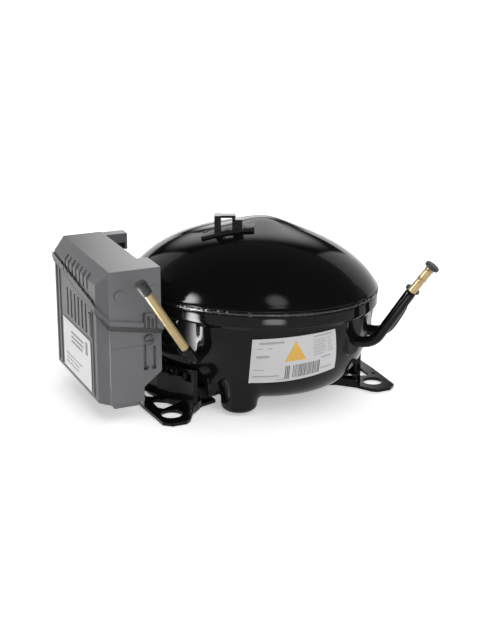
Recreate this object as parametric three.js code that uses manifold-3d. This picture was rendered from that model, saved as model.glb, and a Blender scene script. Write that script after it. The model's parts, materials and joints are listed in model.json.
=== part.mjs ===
// A small hermetic reciprocating refrigeration compressor with its electronic drive box.
// Millimetres, +Z up. The outer pieces are laid out about the centre of the four foot holes,
// and the whole group is then moved so that its origin is the bottom centre of its own box.
import * as THREE from "three";
import { mergeVertices } from "three/addons/utils/BufferGeometryUtils.js";
import { ConvexGeometry } from "three/addons/geometries/ConvexGeometry.js";
import Module from "manifold-3d";

const wasm = await Module();
wasm.setup();

// ---- Driving dimensions ----
const GAP = 0.3; // between pieces that touch
const FOOT_X = 85; // foot holes are at plus and minus this
const FOOT_Y = 35;
const FOOT_HOLE_R = 8;
const FOOT_THICK = 2.5;
const FOOT_WALL_TOP = 33;

const SHELL_X = -2.5; // centre of the oval shell
const SHELL_Y = 5;
const SHELL_TURN = -Math.PI / 4; // its long axis points to the front right
const SHELL_LONG = 99; // semi-axes at the rim
const SHELL_SHORT = 79.5;
const SHELL_MEAN = (SHELL_LONG + SHELL_SHORT) / 2;
const SHELL_WALL = 3;
const WALL_SHARE = SHELL_WALL / SHELL_MEAN;
const BOWL_BOTTOM = 6;
const BOWL_TOP = 72; // where the bowl widens into the rim
const BOWL_SHARE = 0.97; // of the rim's semi-axes
const SEAM_Z = 84; // the two shells meet edge to edge here, with the weld between
const SEAM_HALF = 1; // half of the distance between their edges
const SKIRT_BOTTOM = 75.5;
const SKIRT_SHARE = 0.966; // the upper shell's skirt, inside the rim
const DOME_HEIGHT = 46.5;
const SWELL = { x: 4.6, y: 17, height: 4.2, spread: 15 }; // low swelling behind the dome's middle
const SHELL_SIDES = 40;
const BOWL_STEPS = 6;
const DOME_STEPS = 6;

const POCKET_R = 14; // cups pressed into the bowl, which seat the suspension springs
const POCKET_BOTTOM = 1.5;
const POCKET_TOP = 30;
const SPRING_SEATS = [
  { degrees: -78, pocketOut: 57, springOut: 54 },
  { degrees: 42, pocketOut: 58, springOut: 58 },
  { degrees: 162, pocketOut: 59, springOut: 59 },
];

const TUBE_R = 3.2; // quarter-inch copper
const TUBE_BORE = 2.3;
const CONNECTOR_R = 4.1; // painted steel connectors brazed over the tubes
const HEAD_PLUG_R = 5.6;

const TERMINAL_R = 10.6; // hermetic terminal, facing the drive box
const TERMINAL_Y = 24;
const TERMINAL_Z = 55;
const PIN_CIRCLE = 5.2;
const FENCE_HALF = 17;
const FENCE_WALL = 1.6;

const CLIP_TURN = THREE.MathUtils.degToRad(-24); // the top clip, about the vertical

const BOX_LEFT = -137; // the drive box
const BOX_RIGHT = -98.5;
const BOX_FRONT = -30;
const BOX_BACK = 80;
const BOX_BOTTOM = 14;
const BOX_TOP = 116;
const BOX_WALL = 2.2;
const BLOCK_RIGHT = -90; // its front block reaches further towards the shell
const BLOCK_BACK = -3;
const BOARD_X = -112; // circuit board, standing along the box

const CRANK_X = -12; // crankshaft, in the shell's own frame
const SHAFT_R = 8;
const BEARING_R = SHAFT_R + GAP;
const THROW = 4; // crank throw, and the same again in the big-end bush: a 16 mm stroke
const CRANKPIN_R = 5.5;
const BUSH_R = 11.5;
const HUB_TOP = 78.9;
const WEB_BOTTOM = 79.2;
const WEB_TOP = 83.2;
const PIN_LOW = 83.6;
const PIN_HIGH = 92.4;
const CYLINDER_Z = 88;
const ROD_LENGTH = 38;
const PISTON_R = 13;
const PISTON_LENGTH = 18;
const PISTON_X = 2 * THROW + ROD_LENGTH; // wrist pin at top dead centre
const PISTON_BACK = PISTON_X - PISTON_LENGTH / 2 - 4 * THROW; // its skirt's end at bottom dead centre
const CORE_HALF = 44;
const CORE_CORNER = 13;
const CORE_BOTTOM = 27.4;
const CORE_TOP = 57.4;
const ROTOR_R = 26.8;
const SLOTS = 12;
const BARREL_START = 24;
const BARREL_END = 55.4;
const PLATE_START = BARREL_END + GAP;
const PLATE_END = PLATE_START + 3.5;
const GASKET_START = PLATE_END + GAP;
const GASKET_END = GASKET_START + 0.8;
const HEAD_START = GASKET_END + GAP;
const HEAD_END = HEAD_START + 11.4;
const HEAD_HALF = 17.5;
const HEAD_OPEN = 11.6; // half of the gasket's window
const SCREW_OUT = 13.5;
const SCREW_R = 2;
const REED_THICK = 0.4;

// ---- Geometry helpers ----
// A closed three.js geometry as a solid. Its faces may point either way.
function solidOf(geometry) {
  const bare = geometry.index ? geometry.toNonIndexed() : geometry.clone();
  bare.deleteAttribute("normal");
  bare.deleteAttribute("uv");
  const merged = mergeVertices(bare, 1e-3);
  const vertProperties = merged.attributes.position.array;
  const triVerts = new Uint32Array(merged.index.array);
  const made = new wasm.Manifold(new wasm.Mesh({ numProp: 3, vertProperties, triVerts }));
  if (made.volume() >= 0) return made;
  for (let i = 0; i < triVerts.length; i += 3) {
    [triVerts[i + 1], triVerts[i + 2]] = [triVerts[i + 2], triVerts[i + 1]];
  }
  return new wasm.Manifold(new wasm.Mesh({ numProp: 3, vertProperties, triVerts }));
}

function geometryOf(solid) {
  const mesh = solid.getMesh();
  const points = new Float32Array(mesh.numVert * 3);
  for (let i = 0; i < mesh.numVert; i++) {
    const start = i * mesh.numProp;
    points.set(mesh.vertProperties.subarray(start, start + 3), i * 3);
  }
  const geometry = new THREE.BufferGeometry();
  geometry.setAttribute("position", new THREE.BufferAttribute(points, 3));
  geometry.setIndex(new THREE.BufferAttribute(new Uint32Array(mesh.triVerts), 1));
  geometry.computeVertexNormals();
  return geometry;
}

const join = (first, ...others) => others.reduce((sum, next) => sum.add(next), first);
const cut = (first, ...others) => others.reduce((rest, next) => rest.subtract(next), first);
const common = (first, ...others) => others.reduce((both, next) => both.intersect(next), first);

// A block between two opposite corners.
function block(low, high) {
  const size = high.map((value, i) => value - low[i]);
  const middle = high.map((value, i) => (value + low[i]) / 2);
  return solidOf(new THREE.BoxGeometry(...size).translate(...middle));
}

// Round rods along each axis, between two positions on it.
function rodZ(radius, x, y, from, to, sides = 20) {
  const geometry = new THREE.CylinderGeometry(radius, radius, to - from, sides);
  return solidOf(geometry.rotateX(Math.PI / 2).translate(x, y, (from + to) / 2));
}
function rodX(radius, from, to, y, z, sides = 20) {
  const geometry = new THREE.CylinderGeometry(radius, radius, to - from, sides);
  return solidOf(geometry.rotateZ(Math.PI / 2).translate((from + to) / 2, y, z));
}
function rodY(radius, x, from, to, z, sides = 20) {
  const geometry = new THREE.CylinderGeometry(radius, radius, to - from, sides);
  return solidOf(geometry.translate(x, (from + to) / 2, z));
}

// A closed profile of [radius, height] points turned about the Z axis.
function turned(profile, sides) {
  const points = profile.map(([radius, height]) => new THREE.Vector2(radius, height));
  return new THREE.LatheGeometry(points, sides).rotateX(Math.PI / 2);
}

function extruded(outline, depth) {
  const shape = new THREE.Shape(outline.map(([x, y]) => new THREE.Vector2(x, y)));
  return new THREE.ExtrudeGeometry(shape, { depth, bevelEnabled: false });
}

// A flat outline extruded upwards, and an outline in the X-Z plane extruded along Y.
const prismZ = (outline, from, to) => solidOf(extruded(outline, to - from).translate(0, 0, from));
const prismY = (outline, from, to) =>
  solidOf(extruded(outline, to - from).rotateX(Math.PI / 2).translate(0, to, 0));

function circleShape(radius, sides) {
  const points = [];
  for (let i = 0; i < sides; i++) {
    const angle = (2 * Math.PI * i) / sides;
    points.push(new THREE.Vector2(radius * Math.cos(angle), radius * Math.sin(angle)));
  }
  return new THREE.Shape(points);
}

// A round bar along any curve, along a smooth curve through points, and between two points.
const barAlong = (extrudePath, radius, steps, sides) =>
  solidOf(new THREE.ExtrudeGeometry(circleShape(radius, sides), { extrudePath, steps }));
function pipe(points, radius, steps, sides) {
  const route = points.map((point) => new THREE.Vector3(...point));
  return barAlong(new THREE.CatmullRomCurve3(route, false, "centripetal"), radius, steps, sides);
}
const strut = (from, to, radius, sides = 16) =>
  barAlong(new THREE.LineCurve3(new THREE.Vector3(...from), new THREE.Vector3(...to)), radius, 1, sides);

// An outline moved outwards by a distance. Its corners run anticlockwise.
function grown(outline, distance) {
  return outline.map(([x, y], i) => {
    const before = outline[(i + outline.length - 1) % outline.length];
    const after = outline[(i + 1) % outline.length];
    const a = new THREE.Vector2(x - before[0], y - before[1]).normalize();
    const b = new THREE.Vector2(after[0] - x, after[1] - y).normalize();
    const out = new THREE.Vector2(a.y + b.y, -a.x - b.x);
    out.multiplyScalar(distance / (1 + a.dot(b)));
    return [x + out.x, y + out.y];
  });
}

const around = (degrees, out) => {
  const angle = THREE.MathUtils.degToRad(degrees);
  return [out * Math.cos(angle), out * Math.sin(angle)];
};

// A point some millimetres past the end of a line, or before it where negative.
function past(from, to, beyond) {
  const start = new THREE.Vector3(...from);
  const end = new THREE.Vector3(...to);
  const step = end.clone().sub(start).setLength(Math.abs(beyond) || 1);
  return end.addScaledVector(step, Math.sign(beyond)).toArray();
}

// ---- Materials ----
const finish = (color, roughness, metalness) =>
  new THREE.MeshStandardMaterial({ color, roughness, metalness });
const blackPaint = finish(0x0d0d0e, 0.22, 0.1);
const weldPaint = finish(0x151516, 0.45, 0.1);
const copper = finish(0xc9a06a, 0.35, 0.9);
const rubber = finish(0x2c2c2e, 0.75, 0);
const blackPlastic = finish(0x161617, 0.5, 0);
const greyPlastic = finish(0x8f9094, 0.4, 0);
const paper = finish(0xeeeeec, 0.6, 0);
const zinc = finish(0x9a9b9d, 0.4, 0.9);
const aluminium = finish(0xb4b6b8, 0.45, 0.9);
const castIron = finish(0x55565a, 0.65, 0.6);
const steel = finish(0x8a8c90, 0.35, 0.9);
const lamination = finish(0x5d6068, 0.55, 0.8);
const enamelWire = finish(0xa65a2a, 0.4, 0.6);
const boardGreen = finish(0x1f5a35, 0.55, 0);
const beigeResin = finish(0xd8c39a, 0.6, 0);
const sleeveBlue = finish(0x26324a, 0.45, 0);
const palePlastic = finish(0xb9b7ae, 0.5, 0);
const gasketFibre = finish(0x6b6a60, 0.8, 0);

const compressor = new THREE.Group();
const shellFrame = new THREE.Group(); // the oval shell's own axes
shellFrame.position.set(SHELL_X, SHELL_Y, 0);
shellFrame.rotation.z = SHELL_TURN;
const pumpFrame = new THREE.Group(); // the crankshaft's axis is its origin
pumpFrame.position.x = CRANK_X;
shellFrame.add(pumpFrame);
compressor.add(shellFrame);

function piece(name, solid, material, parent = compressor) {
  const mesh = new THREE.Mesh(geometryOf(solid), material);
  mesh.name = name;
  parent.add(mesh);
}

// A solid of the shell's frame as seen in the outer frame, and the other way round.
const shellToOuter = new THREE.Matrix4()
  .makeTranslation(SHELL_X, SHELL_Y, 0)
  .multiply(new THREE.Matrix4().makeRotationZ(SHELL_TURN));
const toOuter = (solid) => solidOf(geometryOf(solid).applyMatrix4(shellToOuter));
const toShell = (solid) => solidOf(geometryOf(solid).applyMatrix4(shellToOuter.clone().invert()));

// ---- The oval shell ----
// A profile's radii are shares of the rim's semi-axes.
function oval(profile, grow = 0) {
  const geometry = turned(profile, SHELL_SIDES);
  return geometry.scale(SHELL_LONG + grow, SHELL_SHORT + grow, 1);
}

function bowlProfile(bottom, share) {
  const points = [[0, bottom]];
  for (let i = 1; i <= BOWL_STEPS; i++) {
    const rise = (i / BOWL_STEPS) ** 2.2;
    const out = (1 - (1 - rise) ** 1.6) ** (1 / 6);
    points.push([share * out, bottom + rise * (BOWL_TOP - bottom)]);
  }
  return points;
}

function domeProfile(height, share) {
  const points = [];
  for (let i = 0; i < DOME_STEPS; i++) {
    const out = Math.cos((Math.PI / 2) * (i / DOME_STEPS));
    points.push([share * out, SEAM_Z + height * (1 - out ** 2.1) ** (1 / 1.4)]);
  }
  return [...points, [0, SEAM_Z + height]];
}

function swollen(geometry) {
  const position = geometry.attributes.position;
  for (let i = 0; i < position.count; i++) {
    const away = Math.hypot(position.getX(i) - SWELL.x, position.getY(i) - SWELL.y);
    const lift = SWELL.height * Math.exp(-((away / SWELL.spread) ** 2) / 2);
    if (position.getZ(i) > SEAM_Z) position.setZ(i, position.getZ(i) + lift);
  }
  return geometry;
}

// Everything inside the shell's outer surface, grown by a clearance.
function shellPlug(clearance) {
  const profile = [...bowlProfile(BOWL_BOTTOM, BOWL_SHARE), [1, BOWL_TOP + 1.5]];
  return solidOf(swollen(oval([...profile, ...domeProfile(DOME_HEIGHT, 1)], clearance)));
}

// One spring cup, solid, in the shell's frame: straight below, a round edge and a domed top.
function cup({ degrees, pocketOut }, inset) {
  const radius = POCKET_R - inset;
  const bottom = POCKET_BOTTOM + inset;
  const edge = 4;
  const profile = [[0, bottom], [radius - edge, bottom], [radius - 1.2, bottom + 1.2]];
  profile.push([radius, bottom + edge]);
  const shoulder = POCKET_TOP - POCKET_R;
  for (const turn of [0, 30, 60]) profile.push([0, shoulder].map((v, i) => v + around(turn, radius)[i]));
  profile.push([0, shoulder + radius]);
  return solidOf(turned(profile, 16).translate(...around(degrees, pocketOut), 0));
}

function lowerShell() {
  const rimInner = SKIRT_SHARE + GAP / SHELL_MEAN;
  const outer = bowlProfile(BOWL_BOTTOM, BOWL_SHARE);
  const inner = bowlProfile(BOWL_BOTTOM + SHELL_WALL, BOWL_SHARE - WALL_SHARE);
  const edge = SEAM_Z - SEAM_HALF;
  const outside = oval([...outer, [1, BOWL_TOP + 1.5], [1, edge], [0, edge]]);
  const above = SEAM_Z + 1;
  const inside = oval([...inner, [rimInner, BOWL_TOP + 2.5], [rimInner, above], [0, above]]);
  const cups = SPRING_SEATS.map((seat) => cup(seat, 0));
  const hollows = SPRING_SEATS.map((seat) => cup(seat, SHELL_WALL - 0.4));
  return cut(join(solidOf(outside), ...cups), solidOf(inside), ...hollows);
}

function upperShell() {
  const innerShare = SKIRT_SHARE - WALL_SHARE;
  const edge = SEAM_Z + SEAM_HALF;
  const outerDome = [[SKIRT_SHARE, edge], [1, edge], ...domeProfile(DOME_HEIGHT, 1).slice(1)];
  const innerDome = domeProfile(DOME_HEIGHT - SHELL_WALL, innerShare);
  const outside = oval([[0, SKIRT_BOTTOM], [SKIRT_SHARE, SKIRT_BOTTOM], ...outerDome]);
  const inside = oval([[0, SKIRT_BOTTOM - 1], [innerShare, SKIRT_BOTTOM - 1], ...innerDome]);
  return cut(solidOf(swollen(outside)), solidOf(swollen(inside)));
}

// A bead of weld between the two edges, all the way round.
function weldBead() {
  const low = SEAM_Z - SEAM_HALF + GAP;
  const high = SEAM_Z + SEAM_HALF - GAP;
  const inner = SKIRT_SHARE + GAP / SHELL_MEAN;
  return solidOf(oval([[inner, low], [1, low], [1.007, SEAM_Z], [1, high], [inner, high], [inner, low]]));
}

const plug = toOuter(shellPlug(0.7));
const cupPlug = toOuter(join(...SPRING_SEATS.map((seat) => cup(seat, -0.5))));

// ---- Feet: one stamped plate on each side, with an ear at each end ----
function footPlate(side) {
  const half = [[99, 10], [97, 48], [91, 53], [80, 53], [76, 50], [69, 38], [57, 26], [44, 22]];
  const front = half.map(([x, y]) => [x, -y]).reverse();
  let foot = prismZ([...front, ...half], 0, FOOT_THICK);
  const above = FOOT_THICK + 1;
  for (const end of [-1, 1]) {
    const window = [[69, 15], [87, 23], [90, 19], [90, 6], [86, 3]].map(([x, y]) => [x, end * y]);
    // an upturned lip stiffens the ear's slanting edge
    const lip = [[57, 26], [69, 38], [70.6, 36.2], [58.6, 24.2]].map(([x, y]) => [x, end * y]);
    foot = cut(
      foot.add(prismZ(lip, 1, FOOT_THICK + 4)),
      rodZ(FOOT_HOLE_R, FOOT_X, end * FOOT_Y, -1, above, 32),
      prismZ(window, -1, above),
      rodZ(1.8, 94, end * 20, -1, above, 10),
    );
  }
  // a wall stands up along the bowl and is welded to it; slots lighten its upper edge
  const wallRing = cut(
    solidOf(oval([[0, 1], [0.93, 1], [0.93, FOOT_WALL_TOP], [0, FOOT_WALL_TOP]])),
    solidOf(oval([[0, 0], [0.895, 0], [0.895, FOOT_WALL_TOP + 1], [0, FOOT_WALL_TOP + 1]])),
  );
  const turn = (solid) => (side > 0 ? solid : solidOf(geometryOf(solid).rotateZ(Math.PI)));
  const wall = common(toOuter(wallRing), turn(block([56, -24, 0], [110, 33, FOOT_WALL_TOP + 2])));
  foot = join(turn(foot), wall, turn(block([46, -20, 1], [56, 20, 13])));
  // each slot's place along the wall, half width, lower and upper edge
  const slots = [
    [-12, 2.8, 26.5, 30.5], [13, 2.8, 26.5, 30.5], [22, 2.8, 26.5, 30.5], [28.6, 2.6, 23.5, 29.5],
  ];
  for (const [y, halfWidth, low, high] of slots) {
    foot = cut(foot, turn(block([60, y - halfWidth, low], [110, y + halfWidth, high])));
  }
  return cut(foot, plug, cupPlug);
}

// ---- Service tubes: a painted connector, a copper end and a plug each ----
// A plug with a wide flat head, and its stem in the tube's bore.
const headedPlug = (from, to) =>
  join(
    strut(past(from, to, 0.4), past(from, to, 3.2), HEAD_PLUG_R, 20),
    strut(past(from, to, -12), past(from, to, 1), TUBE_BORE - GAP, 10),
  );

// A cap drawn over the tube's end.
const sleevePlug = (from, to) =>
  cut(
    strut(past(from, to, -8), past(from, to, 3), TUBE_R + 1.2, 20),
    strut(past(from, to, -9), past(from, to, GAP), TUBE_R + GAP, 12),
  );

const SERVICE_TUBES = [
  {
    name: "suction",
    route: [[46, -68.5, 53], [54, -76, 52.8], [60, -81.2, 56], [65, -85.2, 64.5], [80.6, -97, 95]],
    end: [91, -105, 113.4],
    plug: headedPlug,
  },
  {
    name: "discharge",
    route: [[67, -55.6, 54.5], [74, -61, 54.3], [79.5, -65.8, 58], [84.5, -70, 68], [88.3, -73.1, 77.5]],
    end: [92.6, -76.6, 87.5],
    plug: headedPlug,
  },
  {
    name: "process",
    route: [
      [-62, -36.5, 48], [-67, -43, 47.4], [-71.5, -47.6, 48.4], [-75.4, -49.7, 52.6], [-79.8, -50.5, 58.9],
    ],
    end: [-114.2, -56.5, 112.2],
    plug: sleevePlug,
  },
];

function addServiceTube({ name, route, end, plug: makePlug }) {
  const last = route[route.length - 1];
  const start = past(end, last, 9); // the copper starts this far inside its connector
  const root = past(route[1], route[0], 1.2);
  const body = pipe([root, ...route], CONNECTOR_R, 12, 12);
  const socket = strut(start, past(end, last, -2), TUBE_R + GAP, 12);
  piece(name + "_connector", cut(body, socket), blackPaint);
  const bore = strut(past(start, end, -16), past(start, end, 5), TUBE_BORE, 12);
  piece(name + "_tube", cut(strut(past(end, start, -GAP), end, TUBE_R, 12), bore), copper);
  piece(name + "_plug", makePlug(start, end), rubber);
}

// ---- Electrical terminal and its plug ----
const terminalPins = [90, 210, 330].map((degrees) => {
  const [y, z] = around(degrees, PIN_CIRCLE);
  return [TERMINAL_Y + y, TERMINAL_Z + z];
});

function terminalFence() {
  const square = (half, from, to) =>
    block([from, TERMINAL_Y - half, TERMINAL_Z - half], [to, TERMINAL_Y + half, TERMINAL_Z + half]);
  const frame = cut(square(FENCE_HALF, BOX_RIGHT + GAP, -76), square(FENCE_HALF - FENCE_WALL, -100, -70));
  const leadNotch = block([-100, TERMINAL_Y - FENCE_HALF - 1, 46], [-91.5, TERMINAL_Y - 14, 65]);
  return cut(frame, plug, leadNotch);
}

function motorPlug() {
  const body = block([-97.9, TERMINAL_Y - 13, TERMINAL_Z - 13], [-93.9, TERMINAL_Y + 13, TERMINAL_Z + 13]);
  return cut(body, ...terminalPins.map(([y, z]) => rodX(1.6, -99, -90, y, z, 12)));
}

// ---- The drive box ----
const boxOutline = [
  [BOX_LEFT, BOX_BACK],
  [BOX_LEFT, -21],
  [-130, BOX_FRONT],
  [BLOCK_RIGHT, BOX_FRONT],
  [BLOCK_RIGHT, BLOCK_BACK],
  [BOX_RIGHT, BLOCK_BACK],
  [BOX_RIGHT, BOX_BACK],
];

// Everything under the parting line of housing and cover, which falls towards the front right.
function underParting(lift) {
  const line = [[-142, 84, 100], [-142, -21, 86], [-129.5, -32, 74.5], [-84, -32, 66.5], [-84, 84, 92]];
  const points = line.flatMap(([x, y, z]) => [new THREE.Vector3(x, y, z + lift), new THREE.Vector3(x, y, 0)]);
  return solidOf(new ConvexGeometry(points));
}

function boxBody(inset, low, high) {
  const bevelStart = 105 - inset;
  const bevelEnd = -129 + inset;
  const left = -160;
  const roof = BOX_TOP - inset;
  const bevel = [[left, bevelStart], [BOX_LEFT + inset, bevelStart], [bevelEnd, roof],
    [bevelEnd, roof + 20], [left, roof + 20]];
  const corner = [[-80, 36], [BLOCK_RIGHT - inset, 36], [-104 - inset, 25], [-104 - inset, 5], [-80, 5]];
  return cut(
    prismZ(grown(boxOutline, -inset), low, high),
    prismY(bevel, BOX_FRONT - 5, BOX_BACK + 5),
    prismY(corner, BOX_FRONT - 5, BOX_BACK + 5),
  );
}

// A row of upright slots through the left wall.
function leftSlots(count, firstY, pitch, low, high) {
  const slot = (y) => block([BOX_LEFT - 3, y, low], [BOX_LEFT + BOX_WALL + 1, y + 3, high]);
  return Array.from({ length: count }, (_, i) => slot(firstY + i * pitch));
}

function driveHousing() {
  const hollow = boxBody(BOX_WALL, BOX_BOTTOM + BOX_WALL, BOX_TOP + 1);
  const walls = common(cut(boxBody(0, BOX_BOTTOM, BOX_TOP), hollow), underParting(0));
  const skids = [-27, 60].map((y) => block([-127, y, 10], [-108, y + 5, BOX_BOTTOM + 1]));
  const leadHole = block([BLOCK_RIGHT - 4, -19, 38], [BLOCK_RIGHT + 1, -11, 66]);
  return cut(
    join(walls, ...skids),
    ...leftSlots(6, 2, 9, 62, 84),
    rodY(2.3, -100, BOX_FRONT - 1, BOX_FRONT + 4, 61.6, 12),
    leadHole,
  );
}

function driveCover() {
  const walls = cut(boxBody(0, BOX_BOTTOM, BOX_TOP), boxBody(BOX_WALL, BOX_BOTTOM - 1, BOX_TOP - BOX_WALL));
  const lip = cut(
    common(prismZ(grown(boxOutline, 1.4), 60, 108), underParting(4.6)),
    prismZ(grown(boxOutline, -BOX_WALL), 50, 110),
  );
  const lug = join(
    block([BOX_RIGHT - 1, 68, 108.5], [-81, 78, BOX_TOP]),
    block([-83, 68, 103], [-81, 78, 109]),
  );
  const boss = rodY(4, -122, BOX_FRONT - 1.2, BOX_FRONT + 1, 97.5, 16);
  const latch = block([-103.6, BOX_FRONT - 1.4, 69], [-94, BOX_FRONT + 1, 82]);
  return cut(join(walls, lip, lug, boss, latch), underParting(GAP), ...leftSlots(7, -4, 9, 97, 109));
}

function heatSink() {
  const fin = (y) => block([-133, y, 60], [-121, y + 1.6, 94]);
  const fins = Array.from({ length: 7 }, (_, i) => fin(-5 + i * 6.4));
  return join(block([-121.3, -5, 60], [-118.3, 35, 94]), ...fins);
}

function addDriveBox() {
  piece("drive_housing", driveHousing(), greyPlastic);
  piece("drive_cover", driveCover(), greyPlastic);
  piece("drive_label", block([BOX_LEFT - 0.6, -7, 18], [BOX_LEFT - GAP, 61, 58]), paper);
  piece("circuit_board", block([BOARD_X, -12, 36], [BOARD_X + 1.6, 76, 96]), boardGreen);
  piece("power_module", block([BOARD_X - 6, 2, 66], [BOARD_X - GAP, 30, 88]), blackPlastic);
  piece("heat_sink", heatSink(), aluminium);
  piece("bus_capacitor", rodY(9, BOARD_X - 9 - GAP, 41, 74, 74, 20), sleeveBlue);
  const choke = solidOf(turned([[4, -4.5], [10, -4.5], [10, 4.5], [4, 4.5], [4, -4.5]], 20)
    .rotateY(Math.PI / 2).translate(BOARD_X - 4.8, 16, 48));
  piece("filter_choke", choke, enamelWire);
  piece("film_capacitor", block([-129, -26, 41], [BOARD_X - GAP - 3, -13, 57]), beigeResin);
  const ways = [44, 50, 56].map((z) => block([-102, -28, z - 1.6], [-95.5, -20, z + 1.6]));
  const terminals = cut(block([-103.5, -27.4, 40], [-93.5, -12, 58.8]), ...ways);
  piece("terminal_block", terminals, blackPlastic);
  const screwHead = rodY(4, -100, BOX_FRONT - 1.8, BOX_FRONT - GAP, 61.6, 20);
  const driveSlot = block([-104, BOX_FRONT - 3, 61.1], [-96, BOX_FRONT - 1.2, 62.1]);
  piece("lock_screw", cut(screwHead.add(rodY(2, -100, BOX_FRONT - 1, -24, 61.6, 12)), driveSlot), zinc);
  const clip = cut(block([-94, 69, 98], [-83.3, 77, 108.2]), block([-91, 68, 100.5], [-86.3, 78, 106]));
  piece("cable_clip", clip, blackPlastic);
  for (const [i, phase] of ["u", "v", "w"].entries()) {
    const z = 60 - i * 5;
    const leadZ = 62 - i * 10;
    const route = [[-92.6, -15, leadZ], [-88.2, -14.4, leadZ], [-87.2, -9, leadZ], [-87.7, -3.5, leadZ - 1],
      [-89.6, 1.5, z + 1], [-93.6, 6, z], [-95.2, TERMINAL_Y - 13 - GAP, z]];
    piece("motor_lead_" + phase, pipe(route, 1.3, 12, 6), palePlastic);
  }
}

// ---- Pump parts, in the pump's frame: the cylinder lies along +X ----
const screwSpots = [[-1, -1], [1, -1], [1, 1], [-1, 1]].map(([a, b]) => [a * SCREW_OUT, b * SCREW_OUT]);
const screwHoles = (from, to) =>
  join(...screwSpots.map(([y, z]) => rodX(SCREW_R + GAP, from, to, y, CYLINDER_Z + z, 10)));

// A block across the cylinder's axis, as wide and high as the flange unless told otherwise.
const across = (from, to, half = HEAD_HALF) =>
  block([from, -half, CYLINDER_Z - half], [to, half, CYLINDER_Z + half]);

function cylinderBlock() {
  const deckTop = 77.5;
  const legs = [[-36, -36], [36, -36], [36, 36], [-36, 36]];
  const deck = prismZ([[-42, -42], [42, -42], [42, -20], [BARREL_END, -HEAD_HALF],
    [BARREL_END, HEAD_HALF], [42, 20], [42, 42], [-42, 42]], 70, deckTop);
  const barrel = rodX(HEAD_HALF + 0.5, BARREL_START, BARREL_END, 0, CYLINDER_Z, 32);
  const saddle = block([BARREL_START, -HEAD_HALF, 71], [BARREL_END, HEAD_HALF, CYLINDER_Z]);
  const supports = legs.map(([x, y]) => block([x - 6, y - 6, CORE_TOP + GAP], [x + 6, y + 6, 71]));
  const flange = across(BARREL_END - 9, BARREL_END);
  const body = join(deck, rodZ(15, 0, 0, 62, HUB_TOP, 28), barrel, saddle, flange, ...supports);
  const lightening = [[-28, 0], [-14, 30], [-14, -30], [14, 30], [14, -30]];
  return cut(
    body,
    ...lightening.map(([x, y]) => rodZ(7, x, y, 60, deckTop + 1, 14)),
    rodZ(BEARING_R, 0, 0, 60, CYLINDER_Z, 24),
    rodX(PISTON_R + GAP, PISTON_BACK - 2, BARREL_END + 1, 0, CYLINDER_Z, 32),
    screwHoles(BARREL_END - 10, BARREL_END + 1),
  );
}

function crankshaft() {
  const weight = common(
    rodZ(PISTON_BACK - 1, 0, 0, WEB_BOTTOM, WEB_TOP, 32),
    block([-PISTON_BACK, -20, WEB_BOTTOM - 1], [-4, 20, WEB_TOP + 1]),
  );
  return join(
    rodZ(SHAFT_R, 0, 0, 26, WEB_TOP, 24),
    rodZ(13, 0, 0, WEB_BOTTOM, WEB_TOP, 28),
    weight,
    rodZ(CRANKPIN_R, THROW, 0, WEB_TOP - 1, PIN_HIGH + 0.6, 24),
  );
}

// The crankpin sits as far off this bush's centre as it does off the shaft's.
const bigEndBush = () =>
  cut(
    rodZ(BUSH_R, 2 * THROW, 0, PIN_LOW, PIN_HIGH, 28),
    rodZ(CRANKPIN_R + GAP, THROW, 0, PIN_LOW - 1, PIN_HIGH + 1, 24),
  );

function connectingRod() {
  const x = 2 * THROW;
  const shank = block([x + 13, -4, CYLINDER_Z - 3], [PISTON_X - 5, 4, CYLINDER_Z + 3]);
  return cut(
    join(
      rodZ(BUSH_R + 3.3, x, 0, PIN_LOW, PIN_HIGH, 28),
      rodZ(6, PISTON_X, 0, CYLINDER_Z - 4, CYLINDER_Z + 4, 20),
      shank,
    ),
    rodZ(BUSH_R + GAP, x, 0, PIN_LOW - 1, PIN_HIGH + 1, 28),
    rodZ(3.9, PISTON_X, 0, CYLINDER_Z - 9, CYLINDER_Z + 9, 16),
  );
}

function piston() {
  const start = PISTON_X - PISTON_LENGTH / 2;
  return cut(
    rodX(PISTON_R, start, start + PISTON_LENGTH, 0, CYLINDER_Z, 32),
    rodX(10, start - 1, start + PISTON_LENGTH - 2.4, 0, CYLINDER_Z, 24),
    rodZ(3.9, PISTON_X, 0, CYLINDER_Z - 14, CYLINDER_Z + 14, 16),
  );
}

// The inlet port is behind the suction reed, in a shallow recess that faces the piston.
const valvePlate = () =>
  cut(
    across(PLATE_START, PLATE_END),
    block([PLATE_START - 1, -9.5, CYLINDER_Z - 10], [PLATE_START + 1.5, -0.5, CYLINDER_Z + 10]),
    rodX(2.5, PLATE_START - 1, PLATE_END + 1, -5, CYLINDER_Z + 5, 12),
    rodX(2.1, PLATE_START - 1, PLATE_END + 1, 6, CYLINDER_Z + 5, 12),
    screwHoles(PLATE_START - 1, PLATE_END + 1),
  );

function reed(start, y) {
  const root = CYLINDER_Z - 9;
  const strip = block([start, y - 2.2, root], [start + REED_THICK, y + 2.2, CYLINDER_Z + 5]);
  return join(strip, rodX(3.6, start, start + REED_THICK, y, CYLINDER_Z + 5, 16));
}

const headGasket = () =>
  cut(
    across(GASKET_START, GASKET_END),
    across(GASKET_START - 1, GASKET_END + 1, HEAD_OPEN),
    screwHoles(GASKET_START - 1, GASKET_END + 1),
  );

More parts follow.
